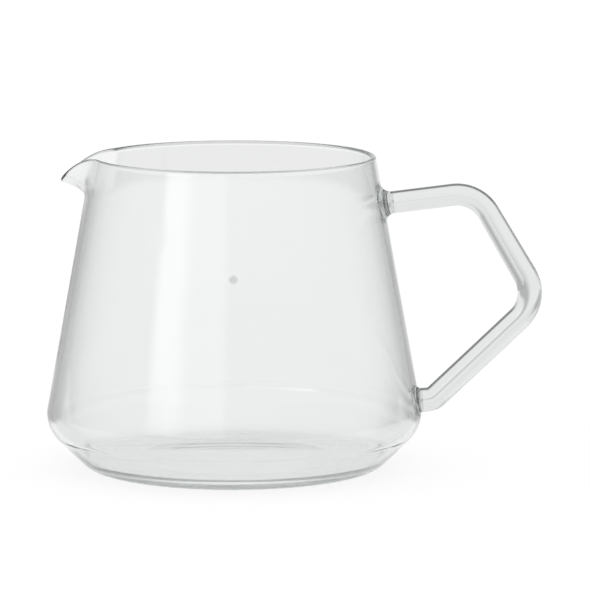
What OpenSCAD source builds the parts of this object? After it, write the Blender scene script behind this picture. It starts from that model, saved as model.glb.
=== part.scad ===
// Coffee server carafe: a blown glass vessel with a pulled pouring lip, and a bent glass rod
// fused to its wall as a handle. Millimetres. The origin is the centre of the foot, on the
// surface that the carafe stands on, with +Z up, the handle along +X and the lip along -X.

/* [Vessel] */
// Height from the foot to the top of the rim
body_h = 96; // [80:0.5:120]
// Outside diameter of the mouth
rim_d = 86.8; // [76:0.2:96]
// Diameter of the shoulder, measured to its corner before rounding
shoulder_d = 116.6; // [104:0.2:130]
// Height of the shoulder's corner before rounding
shoulder_z = 13.3; // [10:0.1:20]
// Outside radius that rounds the shoulder
shoulder_fillet = 9.5; // [5:0.1:12]
// Diameter of the foot, measured to its corner before rounding
foot_d = 89.8; // [80:0.2:98]
// Outside radius that rounds the foot
foot_fillet = 5.8; // [3:0.1:8]
// Thickness of the wall
wall_t = 1.8; // [1.2:0.1:2.6]
// Thickness of the base at the foot
base_t = 3; // [2.4:0.1:5]
// Inside radius between the floor and the wall
floor_fillet = 7; // [4:0.1:10]
// Diameter of the shallow dish under the base
dish_d = 56; // [40:1:66]
// Rise of that dish at its centre
dish_rise = 1.2; // [0.6:0.1:1.8]

/* [Pouring lip] */
// How far the lip reaches out of the round rim
lip_reach = 10.4; // [6:0.1:14]
// How far the lip droops below the rim
lip_drop = 7.2; // [4:0.1:8.5]
// Angle at the axis from the lip's centre to where its droop begins
lip_half_angle = 23; // [16:0.5:28]
// How far below the rim the underside of the lip leaves the wall
lip_knee = 11.6; // [11:0.1:14]
// How far the trough of the lip leans outwards; more makes the lip narrower
lip_tilt = 10; // [4:0.5:14]

/* [Handle] */
// Diameter of the glass rod at the upper arm
rod_top_d = 6.8; // [5:0.1:9]
// Diameter of the glass rod at the elbow and the lower arm
rod_low_d = 7.4; // [5:0.1:9]
// Height of the upper weld's centre, measured down from the rim
upper_weld_drop = 14; // [12:0.1:20]
// Height of the lower weld's centre, measured up from the shoulder's corner
lower_weld_rise = 8.2; // [8:0.1:14]
// How far the upper arm's corner stands out from the wall
arm_reach = 28.6; // [24:0.1:36]
// How far the upper arm's corner stands above its weld
arm_rise = 4; // [0:0.1:8]
// How far the elbow's corner stands out from the wall at the lower weld
elbow_reach = 37; // [32:0.1:46]
// How far the elbow's corner stands above the lower weld
elbow_rise = 31.9; // [26:0.1:36]
// How far the rod runs straight out of the wall before the lower arm
stub_reach = 4.5; // [4.4:0.1:9]
// How far that straight stub climbs
stub_rise = 0.4; // [0:0.1:2]
// Bend radius of the rod's centre line at the upper corner and the elbow
bend_r = 11; // [8:0.1:13]
// Bend radius of the rod's centre line where the lower arm meets its stub
stub_bend_r = 5; // [4.8:0.1:7]
// How much thicker the rod swells in its bends
bend_swell = 0.06; // [0.05:0.01:0.3]

/* [Welds] */
// Radius of the flare that runs from the upper arm into the wall
upper_flare = 3.2; // [1.5:0.1:4]
// Radius of the flare that runs from the lower arm into the wall
lower_flare = 1.4; // [0.8:0.1:2]
// Height of the weld's edge above the wall
weld_edge = 0.4; // [0.2:0.1:0.8]

/* [Fill mark] */
// Diameter of the printed level dot
mark_d = 3.2; // [2:0.1:8]
// Height of the dot's centre above the foot
mark_z = 64.5; // [30:0.5:72]
// Direction of the dot about the axis, counted from the handle
mark_angle = -82; // [-150:1:-30]
// Thickness of the printed enamel
mark_t = 0.15; // [0.1:0.05:0.3]

/* [Hidden] */
$fn = 180;
// Steps along each rounded stretch of an outline
arc_steps = 8;
// Overlap that lets a cut run past the face that it cuts
past = 1;
// How far a run of the rod reaches into its bend
bend_lap = 0.4;
glass = [0.86, 0.9, 0.9, 0.45];
enamel = [0.72, 0.74, 0.75];

// Plane geometry of the outlines, as [radius, height]
function unit(v) = v / norm(v);
function outward(d) = [d.y, -d.x];
function turned(v, a) = [v.x * cos(a) - v.y * sin(a), v.x * sin(a) + v.y * cos(a)];
function cross_2d(u, v) = u.x * v.y - u.y * v.x;
function meet(p, d, q, e) = p + d * cross_2d(q - p, e) / cross_2d(d, e);
function at_height(p, d, z) = p + d * (z - p.y) / d.y;
function half_angle(a, c, b) = acos(unit(a - c) * unit(b - c)) / 2;
function tangent(a, c, b, r) = c + unit(a - c) * r / tan(half_angle(a, c, b));
function fillet_centre(a, c, b, r) =
    c + unit(unit(a - c) + unit(b - c)) * r / sin(half_angle(a, c, b));
function arc(centre, start, turn) =
    [for (i = [0:arc_steps]) centre + turned(start, turn * i / arc_steps)];
// A rounded corner c of an outline that runs from a to b and turns to the left or the right
function rounded(a, c, b, r) =
    let (centre = fillet_centre(a, c, b, r))
    let (turn = sign(cross_2d(c - a, b - c)) * (180 - 2 * half_angle(a, c, b)))
    arc(centre, tangent(a, c, b, r) - centre, turn);

// Corners of the outside, before rounding
rim = [rim_d / 2, body_h];
shoulder = [shoulder_d / 2, shoulder_z];
foot = [foot_d / 2, 0];
wall_dir = unit(rim - shoulder);
wall_out = outward(wall_dir);
cone_dir = unit(shoulder - foot);
cone_out = outward(cone_dir);
// The rim is rounded by a circle as wide as the wall, whose top is at the full height
rim_r = wall_t / 2;
rim_centre = at_height(rim - wall_out * rim_r, wall_dir, body_h - rim_r);
rim_inside = rim_centre - wall_out * rim_r;
rim_outside = rim_centre + wall_out * rim_r;
// Corners of the inside, before rounding
inner_shoulder = meet(rim_inside, wall_dir, foot - cone_out * wall_t, cone_dir);
inner_foot = at_height(foot - cone_out * wall_t, cone_dir, base_t);
inner_shoulder_fillet = shoulder_fillet - wall_t;
dish_r = (pow(dish_d / 2, 2) + pow(dish_rise, 2)) / (2 * dish_rise);
dish_centre = [0, dish_rise - dish_r];
dish_half_angle = asin(dish_d / 2 / dish_r);

function wall_r(z) = at_height(rim, wall_dir, z).x;

// Outlines from the axis under the foot to the rim, and from the rim down to the floor
outside_line = concat(
    rounded([0, 0], foot, shoulder, foot_fillet),
    rounded(foot, shoulder, rim_outside, shoulder_fillet)
);
inside_line = concat(
    rounded(rim_inside, inner_shoulder, inner_foot, inner_shoulder_fillet),
    rounded(inner_shoulder, inner_foot, [0, base_t], floor_fillet)
);

module outside_2d() {
    polygon(concat([[0, 0]], outside_line, [rim_outside, [0, rim_outside.y]]));
}

module vessel_2d() {
    polygon(concat(
        arc(dish_centre, [0, dish_r], -dish_half_angle),
        outside_line,
        arc(rim_centre, wall_out * rim_r, 180),
        inside_line,
        [[0, base_t]]
    ));
}

// The pouring lip is part of a funnel that leans outwards. The funnel's point is in the middle
// of the wall, and its side runs out to the tip. A plane from the tip up to the rim cuts its edge.
lip_seat = at_height(rim_centre, wall_dir, body_h - lip_knee);
lip_tip = rim + [lip_reach, -lip_drop];
lip_axis = [sin(lip_tilt), cos(lip_tilt)];
lip_spread = acos(unit(lip_tip - lip_seat) * lip_axis);
lip_inner_seat = lip_seat + lip_axis * wall_t / sin(lip_spread);
droop_start = rim_d / 2 * cos(lip_half_angle);
droop_run = lip_tip.x - droop_start;

module funnel(seat) {
    h = lip_knee + past;
    translate([-seat.x, 0, seat.y])
        rotate([0, -lip_tilt, 0])
            cylinder(h = h, r1 = 0, r2 = h * tan(lip_spread));
}

// The part of the funnel that stands out of the middle of the wall, up to just under the rim
module lip_outside() {
    low = body_h - lip_knee - past;
    top = body_h - rim_r / 2;
    far = [lip_tip.x + rim_d, body_h + lip_knee];
    difference() {
        funnel(lip_seat);
        rotate_extrude()
            polygon([
                [0, low],
                at_height(lip_seat, wall_dir, low),
                at_height(lip_seat, wall_dir, top),
                [far.x, top],
                far,
                [0, far.y]
            ]);
    }
}

module above_lip() {
    size = body_h + rim_d;
    translate([-lip_tip.x, 0, lip_tip.y])
        rotate([0, -atan2(lip_drop, droop_run), 0])
            translate([-size, -size / 2, 0])
                cube([size + norm([lip_drop, droop_run]) + past, size, size]);
}

module vessel() {
    color(glass) difference() {
        union() {
            rotate_extrude() vessel_2d();
            lip_outside();
        }
        funnel(lip_inner_seat);
        above_lip();
    }
}

// The rod's centre line in the plane of the handle, as [distance from the axis, height]
upper_z = body_h - upper_weld_drop;
lower_z = shoulder_z + lower_weld_rise;
upper_seat = [wall_r(upper_z), upper_z];
lower_seat = [wall_r(lower_z), lower_z];
arm_corner = upper_seat + [arm_reach, arm_rise];
elbow = lower_seat + [elbow_reach, elbow_rise];
stub_corner = lower_seat + [stub_reach, stub_rise];
upper_dir = unit(arm_corner - upper_seat);
lower_dir = unit(stub_corner - lower_seat);
upper_weld_h = weld_edge + upper_flare;
lower_weld_h = weld_edge + lower_flare;
rod_start = upper_seat + upper_dir * upper_weld_h;
rod_end = lower_seat + lower_dir * lower_weld_h;

function heading(v) = atan2(v.y, v.x);

// Stands what lies in the plane of the handle upright, along +X
module upright() {
    rotate([90, 0, 0]) children();
}

// A straight run of the rod, which reaches a little way into the bends at its ends
module rod_run(from, to, d_from, d_to, lap_from = bend_lap, lap_to = bend_lap) {
    along = unit(to - from);
    translate(from - along * lap_from)
        rotate(heading(along))
            rotate([0, 90, 0])
                cylinder(h = norm(to - from) + lap_from + lap_to, d1 = d_from, d2 = d_to);
}

module rod_bend(a, c, b, r, d) {
    start = tangent(a, c, b, r);
    end = tangent(b, c, a, r);
    centre = fillet_centre(a, c, b, r);
    turn = heading(start - centre) - heading(end - centre);
    translate(centre)
        rotate(heading(end - centre))
            rotate_extrude(angle = (turn + 360) % 360)
                translate([r, 0]) circle(d = d + bend_swell);
}

module handle() {
    color(glass) upright() {
        rod_run(
            rod_start,
            tangent(rod_start, arm_corner, elbow, bend_r),
            rod_top_d,
            rod_top_d,
            lap_from = 0
        );
        rod_bend(rod_start, arm_corner, elbow, bend_r, rod_top_d);
        rod_run(
            tangent(elbow, arm_corner, rod_start, bend_r),
            tangent(arm_corner, elbow, stub_corner, bend_r),
            rod_top_d,
            rod_low_d
        );
        rod_bend(arm_corner, elbow, stub_corner, bend_r, rod_low_d);
        rod_run(
            tangent(stub_corner, elbow, arm_corner, bend_r),
            tangent(elbow, stub_corner, rod_end, stub_bend_r),
            rod_low_d,
            rod_low_d
        );
        rod_bend(elbow, stub_corner, rod_end, stub_bend_r, rod_low_d);
        rod_run(
            tangent(rod_end, stub_corner, elbow, stub_bend_r),
            rod_end,
            rod_low_d,
            rod_low_d,
            lap_to = 0
        );
    }
}

// Molten glass drawn out between the rod's end and the wall, which it follows
module weld(seat, dir, rod_d, flare) {
    base_r = rod_d / 2 + flare;
    h = weld_edge + flare;
    difference() {
        upright()
            translate(seat)
                rotate(heading(dir))
                    rotate([0, 90, 0])
                        rotate_extrude() difference() {
                            translate([0, -base_r]) square([base_r, base_r + h]);
                            translate([base_r, h]) circle(flare);
                        }
        rotate_extrude() outside_2d();
    }
}

module upper_weld() {
    color(glass) weld(upper_seat, upper_dir, rod_top_d, upper_flare);
}

module lower_weld() {
    color(glass) weld(lower_seat, lower_dir, rod_low_d, lower_flare);
}

// A thin printed dot that lies on the wall
module fill_mark() {
    seat = [wall_r(mark_z), mark_z];
    low = at_height(rim, wall_dir, mark_z - mark_d);
    high = at_height(rim, wall_dir, mark_z + mark_d);
    color(enamel) rotate(mark_angle) intersection() {
        rotate_extrude()
            polygon([low, low + wall_out * mark_t, high + wall_out * mark_t, high]);
        upright()
            translate(seat)
                rotate(heading(wall_out))
                    rotate([0, 90, 0])
                        cylinder(h = 2 * mark_d, d = mark_d, center = true);
    }
}

vessel();
handle();
upper_weld();
lower_weld();
fill_mark();
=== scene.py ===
# %% [markdown]
# # A glass coffee server
# The server is one piece of heat-worked glass: a blown vessel with a pulled pouring lip, and a bent
# glass rod that is melted onto its wall. The CAD frame holds the true sizes. The meshes here stand
# in the same place, with the smooth curves and the clear glass that the frame's solids can't show.
# Sizes are written in millimetres and turned into metres where a mesh is made.

# %% Load the frame
import math

import bmesh
import bpy
from mathutils import Matrix, Vector


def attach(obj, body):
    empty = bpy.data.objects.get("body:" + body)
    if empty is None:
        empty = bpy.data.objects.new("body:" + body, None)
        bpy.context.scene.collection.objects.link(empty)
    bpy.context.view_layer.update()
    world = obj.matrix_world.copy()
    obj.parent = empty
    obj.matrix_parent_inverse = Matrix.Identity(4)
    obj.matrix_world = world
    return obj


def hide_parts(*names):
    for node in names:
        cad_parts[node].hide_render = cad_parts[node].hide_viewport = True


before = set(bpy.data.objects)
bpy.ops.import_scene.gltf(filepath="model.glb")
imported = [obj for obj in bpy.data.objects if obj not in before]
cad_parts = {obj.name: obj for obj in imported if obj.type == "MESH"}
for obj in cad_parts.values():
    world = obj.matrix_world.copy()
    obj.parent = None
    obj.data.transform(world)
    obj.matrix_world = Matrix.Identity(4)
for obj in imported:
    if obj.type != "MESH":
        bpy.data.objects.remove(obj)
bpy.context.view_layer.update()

MM = 0.001
scene = bpy.context.scene
scene.view_settings.view_transform = "Standard"
print("nodes:", sorted(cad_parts))

# %% [markdown]
# ## Shader maths that reads like maths
# A finish is a handful of sums on masks and noises. Wiring each sum by hand hides what it does, so a
# small class stands for one socket. Arithmetic on it adds Math nodes, and `add` makes any other node
# from its type, its settings and its inputs.

# %% A socket that can be calculated with
class Wire:
    def __init__(self, tree, socket=None):
        self.tree = tree
        self.socket = socket

    def add(self, kind, settings=None, inputs=None, output=0):
        """A new node: its settings first, then its inputs, which are plain values or other wires."""
        node = self.tree.nodes.new(kind)
        for name, value in (settings or {}).items():
            setattr(node, name, value)
        for key, value in (inputs or {}).items():
            if isinstance(value, Wire):
                self.tree.links.new(value.socket, node.inputs[key])
            else:
                node.inputs[key].default_value = value
        return Wire(self.tree, node.outputs[output] if node.outputs else None)

    def math(self, operation, first, second=0.0):
        return self.add("ShaderNodeMath", {"operation": operation}, {0: first, 1: second})

    def __add__(self, other):
        return self.math("ADD", self, other)

    def __sub__(self, other):
        return self.math("SUBTRACT", self, other)

    def __rsub__(self, other):
        return self.math("SUBTRACT", other, self)

    def __mul__(self, other):
        return self.math("MULTIPLY", self, other)

    def __truediv__(self, other):
        return self.math("DIVIDE", self, other)

    def __rtruediv__(self, other):
        return self.math("DIVIDE", other, self)

    __radd__ = __add__
    __rmul__ = __mul__

    def dot(self, vector):
        """How far a vector reaches along a direction."""
        settings = {"operation": "DOT_PRODUCT"}
        return self.add("ShaderNodeVectorMath", settings, {0: self, 1: vector}, "Value")

    def ramp(self, start, end):
        """0 before start, 1 after end, with a smooth change between them."""
        settings = {"interpolation_type": "SMOOTHSTEP"}
        inputs = {"Value": self, "From Min": start, "From Max": end}
        return self.add("ShaderNodeMapRange", settings, inputs)

    def noise(self, scale, detail):
        """A cloudy pattern from 0 to 1, with this wire as the place."""
        inputs = {"Vector": self, "Scale": scale, "Detail": detail}
        return self.add("ShaderNodeTexNoise", inputs=inputs, output="Fac")

    def blend(self, first, second):
        """A colour that runs from first, where this wire is 0, to second, where it is 1."""
        return self.add("ShaderNodeMix", {"data_type": "RGBA"}, {0: self, 6: first, 7: second}, 2)


def grey(level):
    return (level, level, level, 1.0)


def start_shader(owner):
    """An empty node tree for a material or a world."""
    owner.use_nodes = True
    owner.node_tree.nodes.clear()
    return Wire(owner.node_tree)


print("a wire can:", [name for name in vars(Wire) if not name.startswith("_")])

# %% [markdown]
# ## The camera
# The photograph was taken through a long lens, from a little above the rim and turned slightly
# towards the handle. A long lens from a metre and a half away keeps the rim's ellipse flat and the
# two sides of the wall straight. The angles, the lens and the target were fitted to the outline in
# the photograph.

# %% Camera at the photograph's angle
VIEW_TURN = math.radians(7.5)
VIEW_RISE = math.radians(8.07)
VIEW_DISTANCE = 1.5
VIEW_TARGET = Vector((18.55, 2.44, 52.97)) * MM
LENS_MM = 298.3
SENSOR_MM = 36

BACK = Vector((-math.sin(VIEW_TURN), math.cos(VIEW_TURN), 0))
RIGHT = Vector((math.cos(VIEW_TURN), math.sin(VIEW_TURN), 0))
UP = Vector((0, 0, 1))
to_camera = UP * math.sin(VIEW_RISE) - BACK * math.cos(VIEW_RISE)
camera = bpy.data.objects.new("camera", bpy.data.cameras.new("camera"))
camera.data.lens = LENS_MM
camera.data.sensor_width = SENSOR_MM
camera.location = VIEW_TARGET + to_camera * VIEW_DISTANCE
camera.rotation_mode = "QUATERNION"
camera.rotation_quaternion = to_camera.to_track_quat("Z", "Y")
scene.collection.objects.link(camera)
scene.camera = camera
print("camera at", [round(v, 3) for v in camera.location])

# %% [markdown]
# ## A light tent
# Clear glass has no colour of its own to show, so it is drawn by what stands around it. In a light
# tent the back and the roof are white and the sides are grey: the middle of the glass then shows the
# white behind it, and its edges, which bend the view sideways, turn grey. Above the horizon the white
# back reaches further to the left, like a wing. A soft window at the front left, in two steps of
# brightness, gives the pale upright band on the wall. The world shader paints these zones by
# direction, and the camera itself sees plain white.

# %% World as a light tent
TENT_BACK = 0.92
TENT_SIDE = 0.5
BACK_ANGLES = (26, 9)
WING_TURN = math.radians(12)
WING_ANGLES = (40, 21)
WING_RISE = (0.03, 0.1)
ROOF_RISE = (0.1, 0.35)

world = bpy.data.worlds.new("light_tent")
tent = start_shader(world)
scene.world = world
direction = tent.add("ShaderNodeTexCoord", output="Generated")
upward = direction.dot(UP)


def cone(axis, outside, inside):
    """0 outside one angle from an axis and 1 inside another, both in degrees."""
    return direction.dot(axis).ramp(math.cos(math.radians(outside)), math.cos(math.radians(inside)))


wing_axis = BACK * math.cos(WING_TURN) - RIGHT * math.sin(WING_TURN)
white_back = cone(BACK, *BACK_ANGLES)
white_wing = cone(wing_axis, *WING_ANGLES) * upward.ramp(*WING_RISE)
white_roof = upward.ramp(*ROOF_RISE)
white = tent.math("MAXIMUM", tent.math("MAXIMUM", white_back, white_wing), white_roof)
print("tent: white", TENT_BACK, "and grey", TENT_SIDE)

# %% The window in the tent
WINDOW = 1.6
WINDOW_DIM = 0.35
WINDOW_DIM_FROM = (2, 8)
WINDOW_FULL_FROM = (26, 42)
WINDOW_END = (51, 60)
WINDOW_SILL = (0.08, 0.14)
WINDOW_TOP = (0.24, 0.3)

# the bearing is in degrees to the left of the camera
bearing = tent.math("DEGREES", tent.math("ARCTAN2", direction.dot(-RIGHT), direction.dot(-BACK)))
steps = bearing.ramp(*WINDOW_DIM_FROM) * WINDOW_DIM + bearing.ramp(*WINDOW_FULL_FROM) * (1 - WINDOW_DIM)
window = steps - bearing.ramp(*WINDOW_END)
window = window * upward.ramp(*WINDOW_SILL) * (1 - upward.ramp(*WINDOW_TOP))

tent_level = white * (TENT_BACK - TENT_SIDE) + TENT_SIDE + window * WINDOW
to_lens = tent.add("ShaderNodeLightPath", output="Is Camera Ray")
tent_level = to_lens + (1 - to_lens) * tent_level
glow = tent.add("ShaderNodeBackground", inputs={"Color": grey(1.0), "Strength": tent_level})
tent.add("ShaderNodeOutputWorld", inputs={"Surface": glow})
print("window adds", WINDOW, "in", len(world.node_tree.nodes), "nodes of the tent")

# %% [markdown]
# ## The floor
# A plain pale floor. The camera sees it as white as the backdrop, and its diffuse part takes the soft
# shadow of the glass. In the glass the floor shows a little greyer. A studio also lays grey cards at
# the sides of clear glass, because they draw its edges. Here the floor itself holds two such cards,
# which fan out behind the server. Layer Weight lets them show only at a low angle, so a view from
# above finds a plain floor. The far end of the floor is slightly greyer too, and the mouth shows it.

# %% Floor finish
FLOOR_DIFFUSE = 0.2
FLOOR_WHITE = 0.84
FLOOR_IN_GLASS = 0.79
CARD_GREY = 0.43
CARD_LEFT = 47 * MM
CARD_RIGHT = 38 * MM
CARD_FADE = 60 * MM
CARD_INNER = (0.08, 0.36)
CARD_OUTER = (0.95, 1.4)
CARD_SLANT = (0.76, 0.84)
FAR_GREY = 0.86
FAR_FROM = (0.74, 0.8)
# with this blend, Layer Weight's Facing is 1 less the cosine of the angle to the surface's normal
EVEN_BLEND = 0.5

floor_finish = bpy.data.materials.new("pale_floor")
paint = start_shader(floor_finish)
place = paint.add("ShaderNodeTexCoord", output="Object")
behind = place.dot(BACK)
across = place.dot(RIGHT)
aside = paint.math("MAXIMUM", across - CARD_RIGHT, -CARD_LEFT - across)
fan = aside / behind
slant = paint.add("ShaderNodeLayerWeight", inputs={"Blend": EVEN_BLEND}, output="Facing")
cards = fan.ramp(*CARD_INNER) - fan.ramp(*CARD_OUTER)
cards = cards * behind.ramp(0.0, CARD_FADE) * slant.ramp(*CARD_SLANT)
far = behind.ramp(*FAR_FROM)
bright = (1 - cards * (1 - CARD_GREY)) * (1 - far * (1 - FAR_GREY))

camera_ray = paint.add("ShaderNodeLightPath", output="Is Camera Ray")
glossy_ray = paint.add("ShaderNodeLightPath", output="Is Glossy Ray")
glass_ray = paint.add("ShaderNodeLightPath", output="Is Transmission Ray")
in_glass = paint.math("MAXIMUM", glossy_ray, glass_ray) * bright * FLOOR_IN_GLASS
shine = paint.math("MAXIMUM", camera_ray * FLOOR_WHITE, in_glass)
pale = paint.add("ShaderNodeEmission", inputs={"Color": grey(1.0), "Strength": shine})
matt = paint.add("ShaderNodeBsdfDiffuse", inputs={"Color": grey(FLOOR_DIFFUSE)})
both = paint.add("ShaderNodeAddShader", inputs={0: matt, 1: pale})
paint.add("ShaderNodeOutputMaterial", inputs={"Surface": both})
print("floor finish with", len(floor_finish.node_tree.nodes), "nodes")

# %% Floor
FLOOR_R = 1.0
FLOOR_SIDES = 128
FLOOR_GAP = 0.05 * MM

bm = bmesh.new()
below = Matrix.Translation((0, 0, -FLOOR_GAP))
bmesh.ops.create_circle(bm, cap_ends=True, segments=FLOOR_SIDES, radius=FLOOR_R, matrix=below)
floor = bpy.data.objects.new("floor", bpy.data.meshes.new("floor"))
bm.to_mesh(floor.data)
bm.free()
floor.data.materials.append(floor_finish)
scene.collection.objects.link(floor)
print("floor", 2 * FLOOR_R, "m across")

# %% [markdown]
# ## Clear glass
# Hand-worked glass is clear but not perfect. Slow waves in its thickness bend the view, faint wipe
# marks take the edge off its gloss, its foot is scuffed, and a long way through it shows a trace of
# grey-green. The waves are a stretched noise in the normal, and the wipe marks and scuffs are noises
# in the roughness. Layer Weight deepens the tint where the view skims the surface: in part the longer
# way through a wall seen edge-on, in part painted shade that darkens the edges. A little absorption
# takes light along the way. Two lines of painted shade are drawn by the tint as well: a grey line on
# the rim's round, which a mark on its points finds, and a near black line on the upper edge of the
# rod, where the surface turns up and away.
# Light runs many times up and down inside a glass wall before it leaves, so the bounces are raised.

# %% Glass finish
GLASS_IOR = 1.47
GLASS_BOUNCES = 128
GLASS_BODY = (0.0, 0.1, 0.06, 1.0)
WAVE_DETAIL = 2.0
WIPE_SCALE = 45.0
WIPE_DETAIL = 5.0
WIPE_FROM = (0.5, 0.8)
WIPE_ROUGHNESS = 0.012
SCUFF_SCALE = 900.0
SCUFF_DETAIL = 3.0
SCUFF_FROM = (0.4, 0.7)
SCUFF_ROUGHNESS = 0.25
RIM_SHADE = "painted_rim_shade"
# where the rod's upper edge gets its painted shade
TOP_SHADE_SLANT = (0.3, 0.46)
TOP_SHADE_RISE = (0.1, 0.65)

scene.cycles.max_bounces = GLASS_BOUNCES
scene.cycles.glossy_bounces = GLASS_BOUNCES
scene.cycles.transmission_bounces = GLASS_BOUNCES


def glass(
    name,
    tint,
    skim_tint_and_shade,
    skim,
    loss,
    stretch,
    wave_height,
    worn_below=None,
    rim_shade_tint=None,
    painted_top_shade=None,
):
    finish = bpy.data.materials.new(name)
    shade = start_shader(finish)
    place = shade.add("ShaderNodeTexCoord", output="Object")
    stretched = shade.add("ShaderNodeVectorMath", {"operation": "MULTIPLY"}, {0: place, 1: stretch})
    waves = stretched.noise(1.0, WAVE_DETAIL)
    bump = shade.add("ShaderNodeBump", inputs={"Distance": wave_height, "Height": waves}, output="Normal")

    roughness = place.noise(WIPE_SCALE, WIPE_DETAIL).ramp(*WIPE_FROM) * WIPE_ROUGHNESS
    if worn_below is not None:
        height = place.dot(UP)
        scuffs = place.noise(SCUFF_SCALE, SCUFF_DETAIL).ramp(*SCUFF_FROM)
        roughness = roughness + (1 - height.ramp(0.0, worn_below)) * scuffs * SCUFF_ROUGHNESS

    slant = shade.add("ShaderNodeLayerWeight", inputs={"Blend": EVEN_BLEND}, output="Facing")
    # partly painted shade: the tint deepens where the view skims the surface, for the longer way through
    # a thin wall and for darker edges
    colour = slant.ramp(*skim).blend(tint, skim_tint_and_shade)
    # painted shade: a grey line on the rim's round, where the spin's mark is
    if rim_shade_tint is not None:
        rim_shade_mask = shade.add("ShaderNodeAttribute", {"attribute_name": RIM_SHADE}, output="Fac")
        colour = rim_shade_mask.blend(colour, rim_shade_tint)
    # painted shade: a near black line on the rod's upper edge, where the surface faces up and the view
    # skims it
    if painted_top_shade is not None:
        normal = shade.add("ShaderNodeTexCoord", output="Normal")
        top_shade_mask = slant.ramp(*TOP_SHADE_SLANT) * normal.dot(UP).ramp(*TOP_SHADE_RISE)
        colour = top_shade_mask.blend(colour, painted_top_shade)

    surface = shade.add("ShaderNodeBsdfPrincipled", inputs={
        "Base Color": colour,
        "Roughness": roughness,
        "IOR": GLASS_IOR,
        "Transmission Weight": 1.0,
        "Normal": bump,
    })
    depth = shade.add("ShaderNodeVolumeAbsorption", inputs={"Color": GLASS_BODY, "Density": loss})
    shade.add("ShaderNodeOutputMaterial", inputs={"Surface": surface, "Volume": depth})
    print(name, "with", len(finish.node_tree.nodes), "nodes")
    return finish


# %% [markdown]
# ## Glass for the vessel, the rod and the welds
# The vessel's thin wall is the clearest, with upright waves from the blowing and a scuffed foot. The
# rod is solid, so it takes more light, and its waves run along it from the drawing. The welds were
# the hottest glass, and their waves are short and the same every way.

# %% Three glass finishes
ROD_TINT = (0.88, 0.89, 0.887, 1.0)
ROD_LOSS = 10.0

vessel_glass = glass(
    "vessel_glass",
    tint=(0.955, 0.96, 0.958, 1.0),
    skim_tint_and_shade=(0.79, 0.805, 0.8, 1.0),
    skim=(0.3, 0.95),
    loss=3.0,
    stretch=(60.0, 60.0, 14.0),
    wave_height=0.06 * MM,
    worn_below=0.3 * MM,
    # painted shade on the rim's round
    rim_shade_tint=(0.5, 0.52, 0.515, 1.0),
)
rod_glass = glass(
    "rod_glass",
    tint=ROD_TINT,
    skim_tint_and_shade=(0.68, 0.7, 0.695, 1.0),
    skim=(0.5, 0.95),
    loss=ROD_LOSS,
    stretch=(30.0, 420.0, 30.0),
    wave_height=0.02 * MM,
    # painted shade along the rod's upper edge
    painted_top_shade=(0.03, 0.034, 0.033, 1.0),
)
weld_glass = glass(
    "weld_glass",
    tint=ROD_TINT,
    skim_tint_and_shade=(0.7, 0.72, 0.715, 1.0),
    skim=(0.3, 0.95),
    loss=ROD_LOSS,
    stretch=(160.0, 160.0, 160.0),
    wave_height=0.1 * MM,
)

# %% [markdown]
# ## From a bmesh to a piece of the server
# Each piece goes the same way: doubles merged, faces turned outwards, smooth shading that stops at
# sharp edges, then its material and its body, and the CAD node of its name is hidden. Light can only
# tell the inside of a piece of glass from the air if its mesh is closed, so open edges are counted.

# %% Finish a piece
MERGE = 1e-6
SHARP = math.radians(40)


def finish_piece(bm, name, material):
    bmesh.ops.remove_doubles(bm, verts=bm.verts[:], dist=MERGE)
    bmesh.ops.recalc_face_normals(bm, faces=bm.faces[:])
    open_edges = sum(1 for e in bm.edges if len(e.link_faces) != 2)
    mesh = bpy.data.meshes.new(name)
    bm.to_mesh(mesh)
    bm.free()
    mesh.polygons.foreach_set("use_smooth", [True] * len(mesh.polygons))
    mesh.set_sharp_from_angle(angle=SHARP)
    mesh.materials.append(material)
    piece = bpy.data.objects.new(name + "_form", mesh)
    scene.collection.objects.link(piece)
    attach(piece, "root")
    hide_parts(name)
    print(piece.name, len(mesh.polygons), "faces,", open_edges, "open edges")


print("points closer than", MERGE / MM, "mm become one")

# %% [markdown]
# ## The vessel's outline
# A blown vessel is round, so half of its cross-section says it all: nine corners, from the middle of
# the dish under the base, out to the foot, up over the shoulder to the rim, and back down inside. A
# vertex bevel rounds each corner by its own radius, as the glass does when it is soft.

# %% Corners of the half section
BODY_H = 96
RIM_R = 43.4
SHOULDER = Vector((58.3, 13.3))
FOOT = Vector((44.9, 0))
WALL_T = 1.8
BASE_T = 3
DISH_R = 28
DISH_RISE = 1.2
DISH_ROUND = 30
FOOT_ROUND = 5.8
SHOULDER_ROUND = 9.5
INNER_FOOT_ROUND = 7
RIM_SHARE = 0.98


def outward(heading):
    return Vector((heading.y, -heading.x))


def at_height(point, heading, z):
    return point + heading * (z - point.y) / heading.y


def crossing(p, d, q, e):
    return p + d * (q - p).cross(e) / d.cross(e)


rim = Vector((RIM_R, BODY_H))
wall_dir = (rim - SHOULDER).normalized()
wall_out = outward(wall_dir)
cone_dir = (SHOULDER - FOOT).normalized()
rim_round = WALL_T / 2
rim_centre = at_height(rim - wall_out * rim_round, wall_dir, BODY_H - rim_round)
rim_outside = rim_centre + (wall_out + wall_dir) * rim_round
rim_inside = rim_centre + (wall_dir - wall_out) * rim_round
inner_cone = FOOT - outward(cone_dir) * WALL_T
inner_shoulder = crossing(rim_inside, wall_dir, inner_cone, cone_dir)
inner_foot = at_height(inner_cone, cone_dir, BASE_T)

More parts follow.
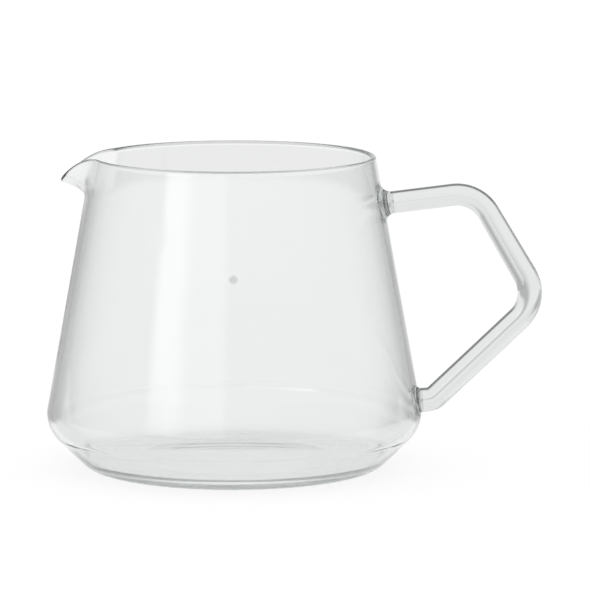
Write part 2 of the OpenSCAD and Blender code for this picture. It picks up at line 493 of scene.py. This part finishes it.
# each corner has the radius that rounds it, and the rim's two stop just short of each other
section = [
    (Vector((0, DISH_RISE)), 0),
    (Vector((DISH_R, 0)), DISH_ROUND),
    (FOOT, FOOT_ROUND),
    (SHOULDER, SHOULDER_ROUND),
    (rim_outside, rim_round * RIM_SHARE),
    (rim_inside, rim_round * RIM_SHARE),
    (inner_shoulder, SHOULDER_ROUND - WALL_T),
    (inner_foot, INNER_FOOT_ROUND),
    (Vector((0, BASE_T)), 0),
]
print("rim round", rim_round, "mm, inside shoulder at", [round(v, 1) for v in inner_shoulder])

# %% Round the corners
ARC_STEPS = 12


def half_section(bm):
    points = [point for point, radius in section]
    verts = [bm.verts.new((p.x * MM, 0, p.y * MM)) for p in points]
    bm.faces.new(verts)
    for i, (point, radius) in enumerate(section):
        if radius:
            turn = (point - points[i - 1]).angle(points[i + 1] - point)
            bmesh.ops.bevel(
                bm,
                geom=[verts[i]],
                offset=radius * math.tan(turn / 2) * MM,
                offset_type="OFFSET",
                segments=ARC_STEPS,
                profile=0.5,
                affect="VERTICES",
                material=-1,
            )
    bmesh.ops.delete(bm, geom=bm.faces[:], context="FACES_ONLY")
    on_axis = [e for e in bm.edges if all(v.co.x < MERGE for v in e.verts)]
    bmesh.ops.delete(bm, geom=on_axis, context="EDGES_FACES")


bm = bmesh.new()
half_section(bm)
print("half section:", len(bm.verts), "points from", len(section), "corners")

# %% [markdown]
# ## How the lip is pulled
# A glassworker draws the hot rim outwards and down with a tool, most at the middle and fading out to
# both sides. A lip could be joined on as a shape of its own, but then a seam would show in clear
# glass. So the points of the wall are moved instead: each keeps its distance from the middle of the
# glass, less a little thinning, and that middle line bends from the plain wall to the lip's curve. The
# curve is a Bezier curve of three points: the lip's root, a knee and the tip.

# %% The lip's curve
LIP_HALF = math.radians(23)
LIP_REACH = 10.2
LIP_DROP = 7.2
LIP_DROOP = 1.8
LIP_ROOT = 13.4
LIP_KNEE = 10.6
LIP_THINNING = 0.2

lip_base = at_height(rim_centre, wall_dir, BODY_H - LIP_ROOT)
lip_length = (rim_centre - lip_base).length
plain_knee = (lip_base + rim_centre) / 2
lip_knee = at_height(rim_centre, wall_dir, BODY_H - LIP_KNEE)


def pull_lip(co):
    turn = math.atan2(co.y, -co.x)
    point = Vector((math.hypot(co.x, co.y), co.z)) / MM - lip_base
    reach = point.dot(wall_dir)
    if abs(turn) >= LIP_HALF or reach <= 0:
        return
    swell = (1 + math.cos(math.pi * turn / LIP_HALF)) / 2
    t = min(reach / lip_length, 1)
    knee = plain_knee.lerp(lip_knee, swell)
    tip = rim_centre + Vector((LIP_REACH * swell, -LIP_DROP * swell ** LIP_DROOP))
    before = lip_base.lerp(knee, t)
    after = knee.lerp(tip, t)
    heading = (after - before).normalized()
    thin = 1 - LIP_THINNING * swell * t * t
    aside = outward(heading) * point.dot(wall_out) * thin
    moved = before.lerp(after, t) + heading * (reach - t * lip_length) * thin + aside
    co.xyz = Vector((-math.cos(turn) * moved.x, math.sin(turn) * moved.x, moved.y)) * MM


print("the lip starts", LIP_ROOT, "mm under the rim and reaches", LIP_REACH, "mm out")

# %% [markdown]
# ## Turning the vessel
# One full spin of the half section makes the vessel. The top of the wall gets extra rows of points
# first, so that it can bend. The points of the rim's round get a mark, a number that the spin copies
# all the way round. The glass reads it to paint the rim's darker line, a painted shade. The mark comes
# after the extra rows, because a cut would spread it down the wall.

# %% Spin the vessel and pull the lip
LIP_ROWS = 24
RIM_SHADE_FROM = 0.2
TURN_STEPS = 288

for row in range(LIP_ROWS):
    height = (BODY_H - LIP_ROOT + (LIP_ROOT - WALL_T) * row / (LIP_ROWS - 1)) * MM
    bmesh.ops.bisect_plane(
        bm, geom=bm.verts[:] + bm.edges[:], plane_co=(0, 0, height), plane_no=UP, dist=MERGE
    )
# the mark says where the rim's painted shade goes
rim_shade_layer = bm.verts.layers.float.new(RIM_SHADE)
for vert in bm.verts:
    above_centre = (vert.co.xz / MM - rim_centre).dot(wall_dir)
    vert[rim_shade_layer] = above_centre > rim_round * RIM_SHADE_FROM
bmesh.ops.spin(
    bm,
    geom=bm.verts[:] + bm.edges[:],
    cent=(0, 0, 0),
    axis=UP,
    angle=math.tau,
    steps=TURN_STEPS,
    use_merge=True,
)
for vert in bm.verts:
    pull_lip(vert.co)
finish_piece(bm, "vessel", vessel_glass)

# %% [markdown]
# ## The handle's line
# A handle like this starts as a straight rod, heated and bent at three places. Both its ends sit on
# the wall's cone, so its corners are given from those two seats: an arm that leaves the upper weld,
# the elbow, and a short stub at the lower weld.

# %% The rod's centre line
ROD_TOP_D = 6.8
ROD_LOW_D = 7.4
UPPER_DROP = 14
LOWER_RISE = 8.2
ARM = Vector((28.6, 4))
ELBOW = Vector((37, 31.9))
STUB = Vector((4.5, 0.4))
UPPER_FLARE = 3.2
LOWER_FLARE = 1.4
ROD_LAP = 0.3


def wall_radius(z):
    return at_height(rim, wall_dir, z).x


upper_z = BODY_H - UPPER_DROP
lower_z = SHOULDER.y + LOWER_RISE
upper_seat = Vector((wall_radius(upper_z), upper_z))
lower_seat = Vector((wall_radius(lower_z), lower_z))
arm_corner = upper_seat + ARM
elbow = lower_seat + ELBOW
stub_corner = lower_seat + STUB
upper_dir = (arm_corner - upper_seat).normalized()
lower_dir = (stub_corner - lower_seat).normalized()
rod_start = upper_seat + upper_dir * (UPPER_FLARE - ROD_LAP)
rod_end = lower_seat + lower_dir * (LOWER_FLARE - ROD_LAP)
print("rod from", [round(v, 1) for v in rod_start], "to", [round(v, 1) for v in rod_end])

# %% [markdown]
# ## Drawing and bending the rod
# A curve with a round bevel would make a rod too, but its bends would only come near to true arcs. The
# mesh is made as the rod is: a ring at the upper weld is drawn along a straight run, spun round a
# bend, drawn along the next run, and so on. The lower half of the real rod is a little thicker, so
# the ring grows on the middle run.

# %% Tools for the rod
ROD_SIDES = 64
BEND_STEPS = 20


def in_space(point):
    """A point of the handle's plane, [distance from the axis, height] in mm, in the frame."""
    return Vector((point.x, 0, point.y)) * MM


def facing(point, heading):
    """Places what is drawn on the XY plane at a point of the handle's plane, with +Z along heading."""
    turned = Vector((heading.x, 0, heading.y)).to_track_quat("Z", "Y")
    return Matrix.LocRotScale(in_space(point), turned, None)


def open_end(geom):
    verts = [g for g in geom if isinstance(g, bmesh.types.BMVert)]
    edges = [g for g in geom if isinstance(g, bmesh.types.BMEdge)]
    return [e for e in edges if all(v in verts for v in e.verts)]


def ring_of(edges):
    """The points of some edges, each once and always in the same order."""
    return list(dict.fromkeys(v for e in edges for v in e.verts))


def draw_out(bm, ring, step, scale=1.0):
    made = bmesh.ops.extrude_edge_only(bm, edges=ring)["geom"]
    end = open_end(made)
    verts = ring_of(end)
    bmesh.ops.translate(bm, verts=verts, vec=in_space(step))
    middle = sum((v.co for v in verts), Vector()) / len(verts)
    bmesh.ops.scale(bm, verts=verts, vec=(scale,) * 3, space=Matrix.Translation(-middle))
    return end


def bend_round(bm, ring, before, corner, after, radius):
    into = (corner - before).normalized()
    out = (after - corner).normalized()
    turn = math.atan2(into.cross(out), into.dot(out))
    side = Vector((-into.y, into.x)) * math.copysign(1, turn)
    start = corner - into * radius * math.tan(abs(turn) / 2)
    made = bmesh.ops.spin(
        bm,
        geom=ring + ring_of(ring),
        cent=in_space(start + side * radius),
        axis=(0, -1, 0),
        angle=turn,
        steps=BEND_STEPS,
        use_duplicate=False,
    )["geom_last"]
    return open_end(made), corner + out * radius * math.tan(abs(turn) / 2)


print("a rod of", ROD_SIDES, "sides, with", BEND_STEPS, "steps to a bend")

# %% Draw and bend the rod
BEND_R = 11
STUB_BEND_R = 5

bends = [
    (rod_start, arm_corner, elbow, BEND_R, 1.0),
    (arm_corner, elbow, stub_corner, BEND_R, ROD_LOW_D / ROD_TOP_D),
    (elbow, stub_corner, rod_end, STUB_BEND_R, 1.0),
]
bm = bmesh.new()
bmesh.ops.create_circle(
    bm, segments=ROD_SIDES, radius=ROD_TOP_D / 2 * MM, matrix=facing(rod_start, upper_dir)
)
ring = bm.edges[:]
here = rod_start
for before, corner, after, radius, growth in bends:
    turn = (corner - before).angle(after - corner)
    bend_start = corner - (corner - before).normalized() * radius * math.tan(turn / 2)
    ring = draw_out(bm, ring, bend_start - here, growth)
    ring, here = bend_round(bm, ring, before, corner, after, radius)
draw_out(bm, ring, rod_end - here)
bmesh.ops.holes_fill(bm, edges=[e for e in bm.edges if e.is_boundary], sides=0)
finish_piece(bm, "handle", rod_glass)

# %% [markdown]
# ## The welds
# Where the rod meets the wall, the hot glass flows out into a small flare. Its section is a quarter
# circle that leaves the rod and lands on the wall. The arc is spun about the rod's own axis, and its
# foot is laid on the round wall. It goes a hair's breadth into the wall and the rod goes a hair's
# breadth into it, so no slit of air shows between pieces that are one glass on the real server.

# %% Spin the flares and lay them on the wall
WELD_SINK = 0.25
NECK_LESS = 0.03
FLARE_STEPS = 12
FLARE_SIDES = 64
BASE_RINGS = (1.0, 0.75, 0.5, 0.25)


def wall_x(co, depth):
    """How far along X the outside of the wall is, less a depth, at the height and width of a point."""
    return math.sqrt((wall_radius(co.z / MM) * MM - depth * MM) ** 2 - co.y ** 2)


def weld(name, seat, heading, rod_d, flare):
    neck = rod_d / 2 - NECK_LESS
    bm = bmesh.new()
    vert = bm.verts.new(Vector((neck, 0, flare)) * MM)
    bmesh.ops.spin(
        bm,
        geom=[vert],
        cent=Vector((neck + flare, 0, flare)) * MM,
        axis=(0, -1, 0),
        angle=math.pi / 2,
        steps=FLARE_STEPS,
        use_duplicate=False,
    )
    bmesh.ops.spin(
        bm,
        geom=bm.verts[:] + bm.edges[:],
        cent=(0, 0, 0),
        axis=UP,
        angle=math.tau,
        steps=FLARE_SIDES,
        use_merge=True,
    )
    ring = [e for e in bm.edges if e.is_boundary and max(v.co.z for v in e.verts) < flare / 2 * MM]
    under = []
    for size in BASE_RINGS:
        made = bmesh.ops.extrude_edge_only(bm, edges=ring)["geom"]
        ring = open_end(made)
        under += ring_of(ring)
        for v in ring_of(ring):
            v.co = Vector((*(v.co.xy.normalized() * (neck + flare) * size * MM), 0))
    bmesh.ops.holes_fill(bm, edges=[e for e in bm.edges if e.is_boundary], sides=0)
    heights = {v: v.co.z for v in bm.verts}
    bmesh.ops.transform(bm, verts=bm.verts[:], matrix=facing(seat, heading))
    for v in bm.verts:
        share = (1 - heights[v] / (flare * MM)) ** 2
        on_plane = v.co.x - heights[v] * heading.x
        v.co.x += share * (wall_x(v.co, 0) - on_plane)
    for v in under:
        v.co.x = wall_x(v.co, WELD_SINK)
    finish_piece(bm, name, weld_glass)


weld("upper_weld", upper_seat, upper_dir, ROD_TOP_D, UPPER_FLARE)
weld("lower_weld", lower_seat, lower_dir, ROD_LOW_D, LOWER_FLARE)

# %% [markdown]
# ## The level dot's enamel
# A small dot of grey enamel, screen-printed on the front of the wall and fired. Printed enamel is a
# thin film with a soft edge and a fine grain of specks. One fine noise gives the specks of colour,
# the uneven gloss and the relief, and the film fades out with the distance from the dot's middle.

# %% Enamel finish
MARK_D = 3.2
MARK_Z = 64.5
MARK_TURN = math.radians(-82)
MARK_FILM = 0.2
MARK_SOLID = 0.25
MARK_CLEAR = 0.52
GRAIN_SCALE = 6000.0
GRAIN_DETAIL = 3.0
GRAIN_RELIEF = 0.02 * MM
SPECK_FROM = (0.3, 0.75)
SPECK_DARK = (0.55, 0.57, 0.58, 1.0)
SPECK_LIGHT = (0.74, 0.76, 0.77, 1.0)
ENAMEL_ROUGHNESS = 0.25
FILM_LEAST = 0.75
FILM_GRAIN = 0.5

mark_spin = Matrix.Rotation(MARK_TURN, 4, "Z")
mark_seat = Vector((wall_radius(MARK_Z), MARK_Z))
mark_centre = mark_spin @ in_space(mark_seat)

enamel = bpy.data.materials.new("mark_enamel")
coat = start_shader(enamel)
place = coat.add("ShaderNodeTexCoord", output="Object")
grain = place.noise(GRAIN_SCALE, GRAIN_DETAIL)
ends = {0: place, 1: mark_centre}
from_centre = coat.add("ShaderNodeVectorMath", {"operation": "DISTANCE"}, ends, "Value")
film = (1 - from_centre.ramp(MARK_D * MARK_SOLID * MM, MARK_D * MARK_CLEAR * MM)) * MARK_FILM
relief = coat.add("ShaderNodeBump", inputs={"Distance": GRAIN_RELIEF, "Height": grain}, output="Normal")
print_layer = coat.add("ShaderNodeBsdfPrincipled", inputs={
    "Base Color": grain.ramp(*SPECK_FROM).blend(SPECK_DARK, SPECK_LIGHT),
    "Roughness": grain * ENAMEL_ROUGHNESS + ENAMEL_ROUGHNESS,
    "Alpha": film * (grain * FILM_GRAIN + FILM_LEAST),
    "Normal": relief,
})
coat.add("ShaderNodeOutputMaterial", inputs={"Surface": print_layer})
print("enamel with", len(enamel.node_tree.nodes), "nodes")

# %% [markdown]
# ## Printing the dot
# The dot could be a patch of colour in the vessel's own glass, but it is a piece of its own on the
# CAD side. So it is a thin disc with a rounded edge, bent to the wall's curve and sunk a little into
# the glass, where no gap can show.

# %% Print the dot on the wall
MARK_T = 0.15
MARK_SINK = 0.05
MARK_SIDES = 48
MARK_ROUND = 0.6
MARK_ROUND_STEPS = 3

bm = bmesh.new()
bmesh.ops.create_circle(bm, cap_ends=True, segments=MARK_SIDES, radius=MARK_D / 2 * MM)
made = bmesh.ops.extrude_face_region(bm, geom=bm.faces[:], use_keep_orig=True)["geom"]
raised = [g for g in made if isinstance(g, bmesh.types.BMVert)]
bmesh.ops.translate(bm, verts=raised, vec=UP * (MARK_T + MARK_SINK) * MM)
lid = [g for g in made if isinstance(g, bmesh.types.BMFace)]
bmesh.ops.bevel(
    bm,
    geom=[e for f in lid for e in f.edges],
    offset=MARK_T * MARK_ROUND * MM,
    offset_type="OFFSET",
    segments=MARK_ROUND_STEPS,
    profile=0.5,
    affect="EDGES",
    material=-1,
)
for vert in bm.verts:
    vert.co.z -= vert.co.y ** 2 / (2 * mark_seat.x * MM)
on_wall = mark_spin @ facing(mark_seat - wall_out * MARK_SINK, wall_out)
bmesh.ops.transform(bm, verts=bm.verts[:], matrix=on_wall)
finish_piece(bm, "fill_mark", enamel)

# %% [markdown]
